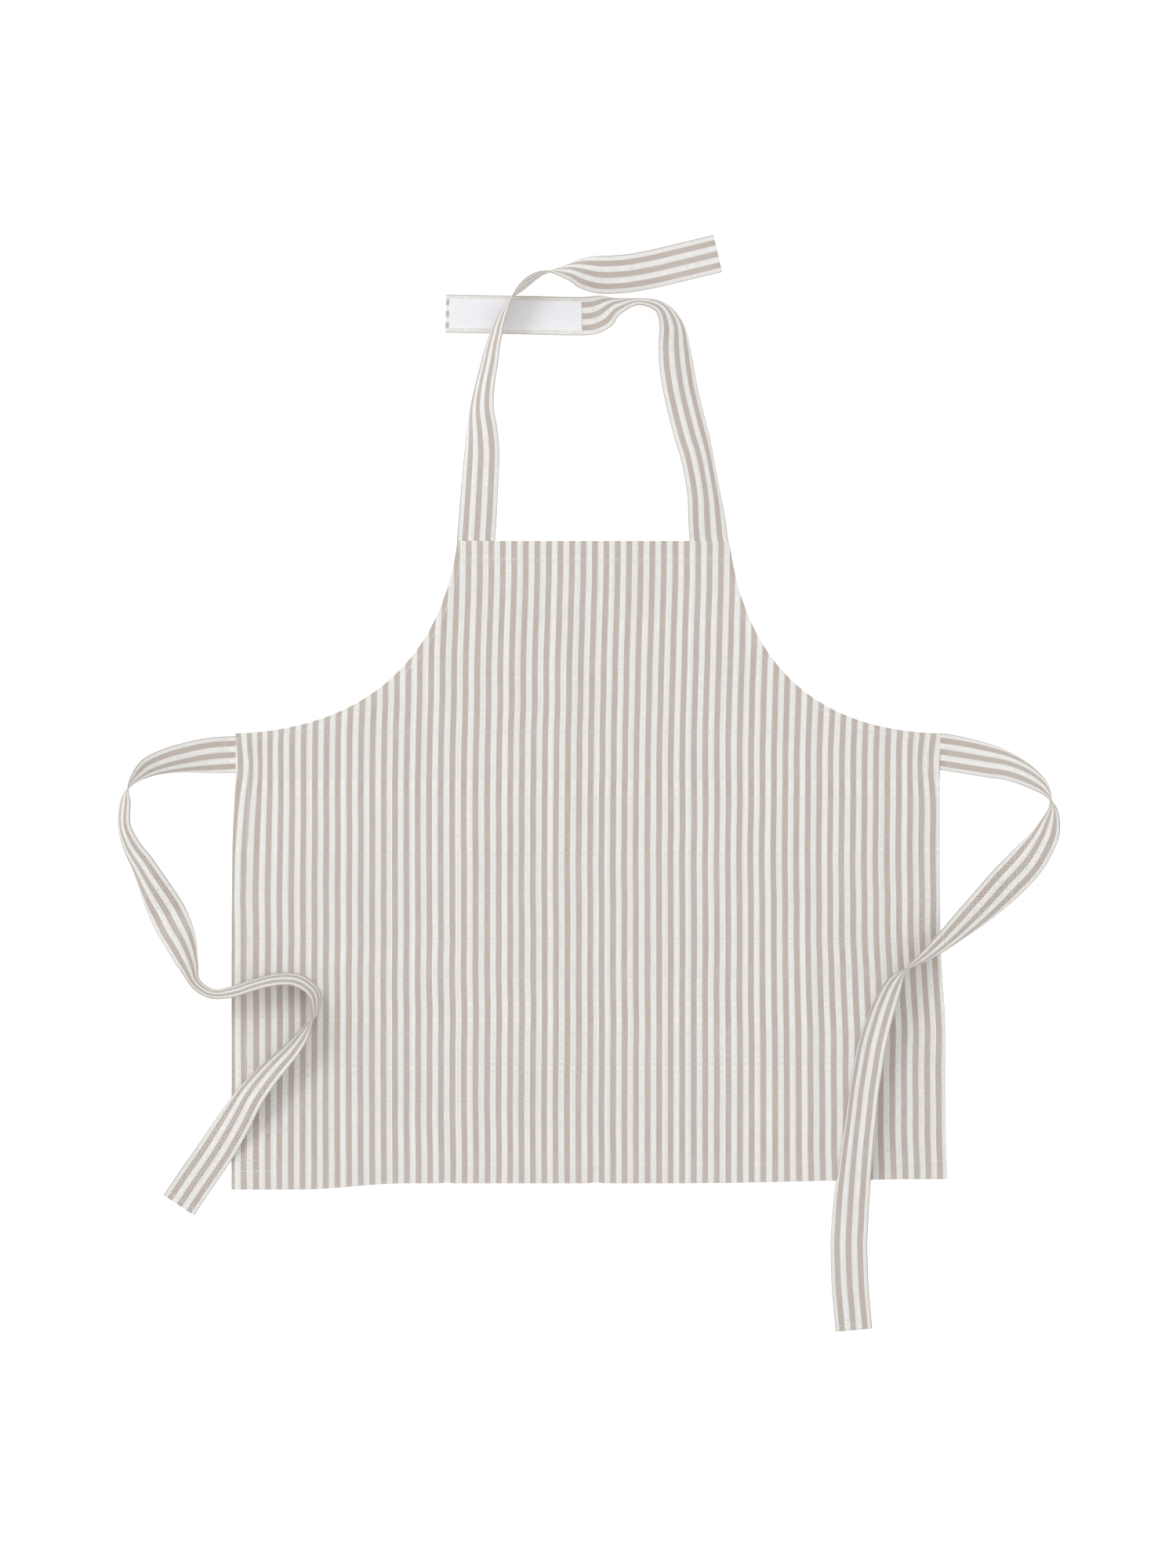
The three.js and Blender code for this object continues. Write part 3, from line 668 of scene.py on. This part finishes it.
def lay(root, outward, stops, width, sewn_depth, beds, pad=()):
    """How a ribbon lies: for each step, its middle, its directions across (to its own left
    edge) and out of its front, its curl, and its length from the root. Standing parts sag over
    to an arc. beds are functions giving the height of what lies beneath at x, y, and the
    ribbon's lowest point is set on it and comes down over ramp_length. pad is the distance
    from the end and the thickness of what is sewn under the ribbon's back."""
    stops = np.array(stops, float)
    stops[:, :2] = stops[:, :2] * MM + root
    stops[:, 2] = np.radians(stops[:, 2])
    t = np.linspace(0, len(stops) - 1, (len(stops) - 1) * steps_per_stop + 1)
    plan = np.stack([carried(stops, 0, t), carried(stops, 1, t)], -1)
    roll = settled(stops, 2, t)
    sewn = np.linspace(-sewn_depth, 0, 10)[:-1]
    plan = np.r_[np.array(root) + sewn[:, None] * np.array(outward), plan]
    roll = np.r_[0 * sewn, roll]
    length = np.r_[0, np.cumsum(np.hypot(*np.diff(plan, axis=0).T))] - sewn_depth
    square = smooth(7 * MM, 0.5 * MM, length)[:, None]
    heading = unit(np.gradient(plan, length, axis=0))
    heading = unit(heading * (1 - square) + np.array(outward) * square)
    beside = np.c_[-heading[:, 1], heading[:, 0]]
    curl = -limpness * np.sin(2 * roll) * np.sign(np.sin(roll))
    places = np.linspace(-1, 1, 13)
    from_end = length[-1] - length
    under = np.zeros_like(length) if not pad else pad[1] * smooth(pad[0] + 9 * MM, pad[0], from_end)
    reach, rise = [], []
    for off in (ribbon_thickness / 2 * np.ones_like(length), -ribbon_thickness / 2 - under):
        p, q = curled(width, curl[:, None], places, off[:, None])
        reach.append(p * np.cos(roll)[:, None] - q * np.sin(roll)[:, None])
        rise.append(p * np.sin(roll)[:, None] + q * np.cos(roll)[:, None])
    reach, rise = np.concatenate(reach, 1), np.concatenate(rise, 1)
    plan = plan - beside * ((reach.max(1) + reach.min(1)) / 2 * (1 - square[:, 0]))[:, None]
    x = plan[:, :1] + beside[:, :1] * reach
    y = plan[:, 1:] + beside[:, 1:] * reach
    own = -rise.min(1)
    needed = own.copy()
    for bed in beds:
        needed = np.maximum(needed, (bed(x, y, length) - rise).max(1))
    apart = np.abs(length[:, None] - length[None, :])
    lift = ((needed - own)[None, :] * smooth(ramp_length, 0, apart)).max(1)
    kernel = np.hanning(11) / np.hanning(11).sum()
    height = np.convolve(np.pad(own + lift, 5, mode="edge"), kernel, mode="valid")
    at_root = smooth(5 * MM, 1 * MM, length)
    height = height * (1 - at_root) + ribbon_thickness / 2 * at_root
    middle = np.c_[plan, height]
    ahead = unit(np.gradient(middle, length, axis=0))
    ahead = unit(ahead * (1 - square) + np.array([*outward, 0]) * square)
    flat_side = unit(np.c_[-ahead[:, 1], ahead[:, 0], 0 * length])
    up = np.cross(ahead, flat_side)
    across = flat_side * np.cos(roll)[:, None] + up * np.sin(roll)[:, None]
    return {"middle": middle, "across": across, "front": np.cross(ahead, across), "curl": curl,
            "length": length, "width": width}


def ribbon_bed(laid, patch_start, patch_end, patch_height):
    """The height of a laid ribbon's upper side: that of the highest of its points nearby. Over
    a patch sewn on it, between two distances from its end, the bed is higher by its height."""
    from_end = laid["length"][-1] - laid["length"]
    over = smooth(patch_start - 4 * MM, patch_start, from_end)
    over = over * smooth(patch_end + 4 * MM, patch_end, from_end)
    proud = ribbon_thickness / 2 + 0.25 * MM + patch_height * over
    places = np.linspace(-1, 1, 25)
    p, q = curled(laid["width"], laid["curl"][:, None], places, 0)
    points = laid["middle"][:, None] + laid["across"][:, None] * p[..., None]
    points = points + laid["front"][:, None] * q[..., None]
    points[..., 2] += proud[:, None]
    points = points.reshape(-1, 3)

    def height(x, y, length):
        at = np.stack([x, y], -1).reshape(-1, 2)
        found = np.full(len(at), -1.0)
        box = np.r_[points[:, :2].min(0) - 3 * MM, points[:, :2].max(0) + 3 * MM]
        inside = (at > box[:2]).all(1) & (at < box[2:]).all(1)
        for k in np.flatnonzero(inside):
            near = ((points[:, :2] - at[k]) ** 2).sum(1) < (1.8 * MM) ** 2
            if near.any():
                found[k] = points[near, 2].max()
        return found.reshape(x.shape)

    return height


def panel_bed(x, y, length):
    """The panel's upper face, under the parts of a tie that come back over it."""
    inside = smooth(-2 * MM, 1 * MM, np.minimum.reduce(from_edges(x, y)[:3]))
    return np.where(length[:, None] > 60 * MM, (panel_height(x, y) + 0.08 * MM) * inside, 0)


def edge_places(width, thickness):
    """Places across a section, -1 to 1, close together where its edges round off."""
    rim = thickness / width
    curve = 1 - rim * (1 - np.cos(np.radians([0, 22, 45, 68, 90])))
    half = np.r_[curve, np.linspace(curve[-1], 0, 9)[1:]]
    return np.r_[half, -half[-2::-1]]


def carry(laid, steps, width, thickness, off, relief=None):
    """A flat section with rounded edges carried along a laid ribbon, its middle off from the
    ribbon's own. relief gives how far its front stands proud at each step and place. Returns
    its points, its faces and each point's place on its cloth."""
    place = edge_places(width, thickness)
    rim = thickness / width
    share = np.clip((np.abs(place) - (1 - rim)) / rim, 0, 1)
    half = thickness / 2 * np.sqrt(1 - share**2)
    proud = np.zeros((len(steps), len(place))) if relief is None else relief(steps, place)
    s = laid["length"][steps]
    ends = np.minimum(s - s[0], s[-1] - s) / (thickness / 2)
    pinch = np.sqrt(np.clip(1 - (1 - np.clip(ends, 0, 1)) ** 2, 0.05, 1))[:, None]
    rows = []
    for sign in (1, -1):
        out = off + sign * (half + proud) * pinch
        share_across = place * width / laid["width"]
        p, q = curled(laid["width"], laid["curl"][steps][:, None], share_across, out)
        row = laid["middle"][steps][:, None] + laid["across"][steps][:, None] * p[..., None]
        rows.append(row + laid["front"][steps][:, None] * q[..., None])
    count = len(place)
    loop = np.concatenate([rows[0], rows[1][:, -2:0:-1]], 1)
    n, m = loop.shape[:2]
    ids = np.arange(n * m).reshape(n, m)
    turned = np.roll(ids, -1, axis=1)
    faces = np.stack([ids[:-1], ids[1:], turned[1:], turned[:-1]], -1).reshape(-1, 4).tolist()
    for ring, turn in ((ids[0], 1), (ids[-1], -1)):
        front, back = ring[:count], np.r_[ring[0], ring[:count - 1:-1], ring[count - 1]]
        for k in range(count - 1):
            corners = [front[k], front[k + 1], back[k + 1], back[k]][::turn]
            faces.append(list(dict.fromkeys(int(c) for c in corners)))
    fold = smooth(0.82, 1.0, np.abs(place)) * max(1.86 * stripe_pitch - width / 2, 0)
    across = place * width / 2 + fold * np.sign(place)
    across = np.r_[across, across[-2:0:-1]]
    cloth = np.stack([across + 0 * s[:, None], s[:, None] + 0 * across], -1)
    return loop, outward_faces(loop, faces), cloth


def outward_faces(points, faces):
    """The faces turned to point outwards, if the closed mesh's volume is negative."""
    flat = points.reshape(-1, 3)
    fans = np.array([(f[0], f[k], f[k + 1]) for f in faces for k in range(1, len(f) - 1)])
    a, b, c = flat[fans[:, 0]], flat[fans[:, 1]], flat[fans[:, 2]]
    return [f[::-1] for f in faces] if (a * np.cross(b, c)).sum() < 0 else faces


def make_ribbon(name, laid, hand, kind, seed, stripe_offset):
    """The flat tube: its faces swell a little beside its edges, where the seam allowance lies
    inside it, and ripple faintly along its length."""
    draw = np.random.default_rng(seed)
    starts = draw.uniform(0, 2 * math.pi, 5)
    lengths = draw.uniform(11, 55, 5) * MM

    def relief(steps, place):
        s = laid["length"][steps][:, None]
        ripple = sum(np.sin(2 * math.pi * s / l + a + 2 * place) for l, a in zip(lengths, starts)) / 5
        seam = 0.15 * bell(np.abs(place), 0.84, 0.08)
        end = 0.2 * smooth(end_hem_depth + MM, end_hem_depth - MM, laid["length"][-1] - s)
        free = smooth(2 * MM, 14 * MM, s)
        return (0.13 * ripple + seam + end) * free * (1 - np.abs(place) ** 14) * MM

    steps = np.arange(len(laid["length"]))
    points, faces, cloth = carry(laid, steps, laid["width"], ribbon_thickness, 0, relief)
    cloth[..., 0] -= stripe_offset
    piece = add_surface(name, points, faces, canvas, cloth)
    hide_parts(f"{hand}_{kind}", f"{hand}_{kind}_sewn_end")
    return piece


def between(laid, key, s):
    """A laid ribbon's middle or direction at lengths s from its root, between its steps."""
    return np.stack([np.interp(s, laid["length"], laid[key][:, k]) for k in range(3)], -1)


def on_ribbon(laid, from_end, place, off):
    """Points on a ribbon at distances from its free end, places across it and off its middle,
    with its outward direction there."""
    s = laid["length"][-1] - from_end
    middle, across, front = (between(laid, key, s) for key in ("middle", "across", "front"))
    curl = np.interp(s, laid["length"], laid["curl"])
    p, q = curled(laid["width"], curl, place, off)
    return middle + across * p[:, None] + front * q[:, None], unit(front) * np.sign(np.mean(off))


def end_row(name, laid, distance, side, node, body):
    """A row of stitches across a ribbon, at that distance from its free end."""
    place = np.linspace(-1, 1, 40) * (1 - 2 * stitch_inset / laid["width"])
    off = side * (ribbon_thickness / 2 + 0.2 * MM)
    points, out = on_ribbon(laid, np.full(40, distance), place, off)
    return add_stitches(name, points, out, [node], body)


def strap_root(hand):
    """Where a strap leaves the bib, its width, and how far it is sewn in."""
    low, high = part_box(f"{hand}_neck_strap_sewn_end")
    return ((low.x + high.x) / 2, high.y + seam_gap), high.x - low.x, high.y - low.y + seam_gap


def tie_root(hand):
    """The same for a tie at the panel's side."""
    low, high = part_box(f"{hand}_waist_tie_sewn_end")
    x = low.x - seam_gap if hand == "left" else high.x + seam_gap
    return (x, (low.y + high.y) / 2), high.y - low.y, high.x - low.x + seam_gap


def tie_bend(root, width, side):
    """Where a tie starts and stops bending: two places on a line that slants outward and down
    from its root's upper corner."""
    corner = np.array([root[0], root[1] + width / 2, 0])
    way = np.array([side * math.cos(tie_bend_slant), -math.sin(tie_bend_slant), 0])
    return tuple(corner + tie_bend_start * way), tuple(corner + tie_bend_end * way)


# ---- The right neck strap and its loop tape
# The strap rises from the bib leaning on its right edge, bends over to the left at the top and
# ends flat, with a patch of soft loop tape sewn to its front by its four edges.

right_strap_stops = [
    (0, 0, 0), (-1.4, 13.6, 12), (-3, 28.4, 24), (-5.5, 43, 28), (-8.3, 57.6, 26),
    (-12, 71.9, 20), (-15.7, 86.3, 20), (-19.1, 100.8, 21), (-21.6, 115.4, 22),
    (-23.5, 130, 30), (-25.6, 144.8, 47), (-33.4, 156.9, 67), (-47.6, 160.4, 76),
    (-61.7, 157.4, 58), (-73.5, 153.4, 22), (-83, 152.2, 0), (-99, 152.2, 0), (-116, 152.6, 0),
    (-131, 152.9, 0), (-147, 153.3, 0), (-163, 153.6, 0), (-178.6, 153.9, 0),
]
right_root, right_strap_width, right_sewn = strap_root("right")
right_strap_laid = lay(right_root, (0, 1), right_strap_stops, right_strap_width, right_sewn, [])


def cloth_length(laid):
    """A ribbon's length with the part that is sewn in."""
    return laid["length"][-1] - laid["length"][0]


right_strap = make_ribbon("right_neck_strap_cloth", right_strap_laid, "right", "neck_strap", 11,
                          0.2 * MM)

loop_tape_length, loop_tape_from_end = 90 * MM, 2.5 * MM
tape_width, tape_thickness, base_thickness = 20 * MM, 1.2 * MM, 0.7 * MM
tape_gap = 0.12 * MM
tape_row_inset = 0.9 * MM


def make_tape():
    """White nylon, very slightly blue, with a fine grain and faint ribs across."""
    tape = Finish("white_tape", Roughness=0.85, Sheen_Weight=0.35)
    tape.surface.inputs["Sheen Roughness"].default_value = 0.4
    place = tape.node("ShaderNodeTexCoord", {}, {}, output=3)
    grain = tape.noise(place, 2600, 3.0)
    patch = tape.noise(place, 260, 2.0)
    across = tape.node("ShaderNodeSeparateXYZ", {}, [place])
    rib = (across * (2 * math.pi / (1.1 * MM)) + 3 * patch).math("SINE")
    shade = (0.6 * grain + 0.3 * patch + 0.06 * rib + 0.05).clamped()
    tape.feed("Base Color", tape.mix(shade, (0.79, 0.805, 0.85, 1), (0.94, 0.95, 0.975, 1)))
    tape.bump(grain + 0.12 * rib, 0.35 * MM, 0.6)
    return tape


tape = make_tape()


def make_nap(laid, from_end, patch_length, side, spacing, arch, radius):
    """Rows of fine plastic threads standing on a tape, each a four-sided tube along arch, a
    line of places ahead and out of the tape. Every second row is shifted by half a spacing,
    and each thread is turned a little by chance."""
    draw = np.random.default_rng(int(patch_length / MM))
    s, w = np.meshgrid(np.arange(from_end + 1.6 * MM, from_end + patch_length - 1.4 * MM, spacing),
                       np.arange(-tape_width / 2 + 1.7 * MM, tape_width / 2 - 1.6 * MM, spacing))
    s = s + (np.arange(len(w)) % 2)[:, None] * spacing / 2
    s, w = s.ravel(), w.ravel() / (laid["width"] / 2)
    off = side * (ribbon_thickness / 2 + tape_gap + base_thickness - 0.05 * MM)
    root, out = on_ribbon(laid, s, w, off)
    across = between(laid, "across", laid["length"][-1] - s)
    turn = draw.uniform(-0.7, 0.7, len(s))[:, None]
    size = draw.uniform(0.8, 1.15, len(s))[:, None, None]
    ahead = np.cross(across, out) * np.cos(turn) + across * np.sin(turn)
    beside = np.cross(out, ahead)
    arch = np.array(arch) * MM
    line = root[:, None] + size * (ahead[:, None] * arch[:, :1] + out[:, None] * arch[:, 1:])
    way = unit(np.gradient(arch, axis=0))
    normal = out[:, None] * way[:, :1] - ahead[:, None] * way[:, 1:]
    angle = np.arange(4) * math.pi / 2
    ring = normal[:, :, None] * np.cos(angle)[:, None] + beside[:, None, None] * np.sin(angle)[:, None]
    points = line[:, :, None] + radius * ring
    rings = len(arch)
    ids = np.arange(rings * 4).reshape(rings, 4)
    turned = np.roll(ids, -1, axis=1)
    tube = np.stack([ids[:-1], ids[1:], turned[1:], turned[:-1]], -1).reshape(-1, 4)
    tube = np.r_[tube, ids[:1], ids[-1:, ::-1]]
    faces = (tube + (rings * 4 * np.arange(len(s)))[:, None, None]).reshape(-1, 4)
    return points.reshape(-1, 3), outward_faces(points, faces.tolist())


def make_tape_patch(name, laid, from_end, patch_length, side, node, nap):
    """A woven tape on a strap: a thin base with flat bands along its edges, and its nap."""
    steps = np.arange(0, patch_length, 0.9 * MM)[1:-1]
    steps = np.r_[0, 0.12 * MM, 0.35 * MM, steps, patch_length - np.array([0.35, 0.12, 0]) * MM]
    spots = laid["length"][-1] - from_end - patch_length + steps
    fine = {key: between(laid, key, spots) for key in ("middle", "across", "front")}
    curl = np.interp(spots, laid["length"], laid["curl"])
    fine.update(curl=curl, length=spots, width=laid["width"])
    off = side * (ribbon_thickness / 2 + tape_gap + base_thickness / 2)
    points, faces = carry(fine, np.arange(len(spots)), tape_width, base_thickness, off)[:2]
    points = points.reshape(-1, 3)
    nap_points, nap_faces = make_nap(laid, from_end, patch_length, side, *nap)
    faces = faces + [[int(c) + len(points) for c in face] for face in nap_faces]
    piece = add_surface(name, np.r_[points, nap_points], faces, tape)
    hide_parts(node)
    return piece


def tape_row(name, laid, from_end, patch_length, side, node, body):
    """The row that holds a tape down, once round inside its edges."""
    a, b = from_end + tape_row_inset, from_end + patch_length - tape_row_inset
    w = (tape_width / 2 - tape_row_inset) / (laid["width"] / 2)
    corners = np.array([[a, -w], [b, -w], [b, w], [a, w], [a, -w]])
    line = np.concatenate([np.linspace(p, q, 60)[:-1] for p, q in zip(corners, corners[1:])])
    off = side * (ribbon_thickness / 2 + base_thickness + tape_gap + 0.02 * MM)
    points, out = on_ribbon(laid, line[:, 0], line[:, 1], off)
    return add_stitches(name, points, out, [node], body)


loop_arch = [[-0.38, 0], [-0.42, 0.3], [-0.2, 0.52], [0.2, 0.52], [0.42, 0.3], [0.38, 0]]
loop_tape = make_tape_patch("loop_tape_patch", right_strap_laid, loop_tape_from_end,
                            loop_tape_length, 1, "loop_tape", (1.05 * MM, loop_arch, 0.075 * MM))
loop_rows = tape_row("loop_tape_stitches_thread", right_strap_laid, loop_tape_from_end,
                     loop_tape_length, 1, "loop_tape_stitches", "right_strap")
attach(loop_tape, "right_strap")
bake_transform(right_strap)
cloth_length(right_strap_laid)

# ---- The left neck strap and its hook tape
# The strap stands on its left edge round the loop, and its end lies flat past the right one's,
# with a shorter patch of stiff hook tape sewn under it.

left_strap_stops = [
    (0, 0, 0), (1, 14, -5), (2, 29, -10), (3, 44, -14), (4, 59, -20), (4.2, 74, -33),
    (4.1, 89, -48), (6.2, 104, -57), (9.4, 119, -61), (12.8, 134, -68), (16.9, 148, -74),
    (23.6, 161.6, -84), (33.5, 172.5, -96), (46.5, 180, -87), (61.2, 180.3, -62),
    (75, 180, -26), (90, 180.1, 0), (105, 181.4, 0), (120, 184, 0), (134.5, 187.4, 0),
    (149, 190.9, 0), (164, 194.5, 0),
]
left_root, left_strap_width, left_sewn = strap_root("left")
hook_tape_length, hook_tape_from_end = 50 * MM, 5 * MM
over_tape = tape_thickness + 0.4 * MM
right_strap_bed = ribbon_bed(right_strap_laid, loop_tape_from_end,
                             loop_tape_from_end + loop_tape_length, over_tape)
left_strap_laid = lay(left_root, (0, 1), left_strap_stops, left_strap_width, left_sewn,
                      [right_strap_bed],
                      (hook_tape_from_end + hook_tape_length, tape_thickness + 0.15 * MM))
hook_arch = [[0, 0], [0, 0.3], [0.08, 0.48], [0.26, 0.55], [0.42, 0.46], [0.46, 0.33]]
left_strap = make_ribbon("left_neck_strap_cloth", left_strap_laid, "left", "neck_strap", 12,
                         -0.3 * MM)
hook_tape = make_tape_patch("hook_tape_patch", left_strap_laid, hook_tape_from_end,
                            hook_tape_length, -1, "hook_tape", (1.4 * MM, hook_arch, 0.11 * MM))
hook_rows = tape_row("hook_tape_stitches_thread", left_strap_laid, hook_tape_from_end,
                     hook_tape_length, -1, "hook_tape_stitches", "left_strap")
left_end_row = end_row("left_neck_strap_end_thread", left_strap_laid, end_hem_depth - 0.2 * MM, 1,
                       "left_neck_strap_end_stitches", "left_strap")
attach(hook_tape, "left_strap")
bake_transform(left_strap)
cloth_length(left_strap_laid)

# ---- The left waist tie
# The tie leaves the side seam, turns over on itself, comes back over the panel on its edge and
# ends flat on it. Its end is turned in and stitched across.

left_tie_stops = [
    (0, 0, 0), (-14.5, -0.7, -14), (-29, -2, -32), (-44, -4.5, -47), (-57.5, -9.5, -62),
    (-67.5, -19.5, -88), (-71.3, -33, -112), (-72, -48, -115), (-67.4, -61.6, -124),
    (-60, -74.5, -136), (-53.6, -87.6, -150), (-47.2, -100.8, -168), (-40.6, -113.9, -190),
    (-34.5, -127.2, -214), (-29.7, -141.1, -238), (-24.1, -154.6, -259), (-12.5, -161.8, -260),
    (2, -160.2, -255), (15.9, -155.7, -254), (30.2, -152.3, -254), (44.8, -152.7, -254),
    (56.2, -161.3, -255), (57, -175.2, -266), (50.3, -188, -287), (41.4, -199.5, -297),
    (31.2, -210, -305), (21.2, -220.7, -314), (12, -232.2, -324), (4.2, -244.6, -335),
    (-3.6, -257, -345), (-11.5, -269.4, -352), (-19.8, -281.5, -357), (-28.2, -293.6, -360),
    (-36.3, -305.8, -360),
]
left_tie_root, left_tie_width, left_tie_sewn = tie_root("left")
left_tie_laid = lay(left_tie_root, (-1, 0), left_tie_stops, left_tie_width, left_tie_sewn,
                    [panel_bed])
left_tie = make_ribbon("left_waist_tie_cloth", left_tie_laid, "left", "waist_tie", 13, 0.3 * MM)
left_tie_row = end_row("left_waist_tie_end_thread", left_tie_laid, end_hem_depth - 0.7 * MM, 1,
                       "left_waist_tie_end_stitches", "left_tie")
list(tie_bend(left_tie_root, left_tie_width, -1))
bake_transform(left_tie)
cloth_length(left_tie_laid)

# ---- The right waist tie
# The same on the other side: it twists once beside the panel and once as it crosses back.

right_tie_stops = [
    (0, 0, 0), (14.3, -2.5, -10), (29, -5.7, -20), (43.3, -9.7, -36), (56.7, -16.3, -50),
    (68, -25.8, -68), (74, -39, -98), (71.1, -53, -127), (63.8, -65.8, -146),
    (54.5, -77.4, -168), (44.3, -88.2, -182), (33.6, -98.6, -198), (22.6, -108.8, -210),
    (11.3, -118.5, -223), (-0.2, -128.2, -236), (-11.9, -137.4, -248), (-24.1, -146, -264),
    (-33.1, -157.4, -293), (-39.3, -170.9, -305), (-44.2, -185, -312), (-48.2, -199.4, -318),
    (-50.9, -214.1, -321), (-53.3, -228.8, -322), (-55.1, -243.7, -324), (-56.9, -258.5, -326),
    (-58.7, -273.4, -330), (-60.3, -288.2, -336), (-61.8, -303.1, -345), (-62.7, -318, -351),
    (-63.4, -332.9, -354), (-63.1, -347.9, -356), (-62.5, -362.8, -358), (-61.2, -377.7, -360),
    (-59.9, -392.6, -360),
]
right_tie_root, right_tie_width, right_tie_sewn = tie_root("right")
right_tie_laid = lay(right_tie_root, (1, 0), right_tie_stops, right_tie_width, right_tie_sewn,
                 [panel_bed])
right_tie = make_ribbon("right_waist_tie_cloth", right_tie_laid, "right", "waist_tie", 14,
                        -0.2 * MM)
right_tie_row = end_row("right_waist_tie_end_thread", right_tie_laid, end_hem_depth - 0.7 * MM, 1,
                        "right_waist_tie_end_stitches", "right_tie")
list(tie_bend(right_tie_root, right_tie_width, 1))
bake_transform(right_tie)
cloth_length(right_tie_laid)
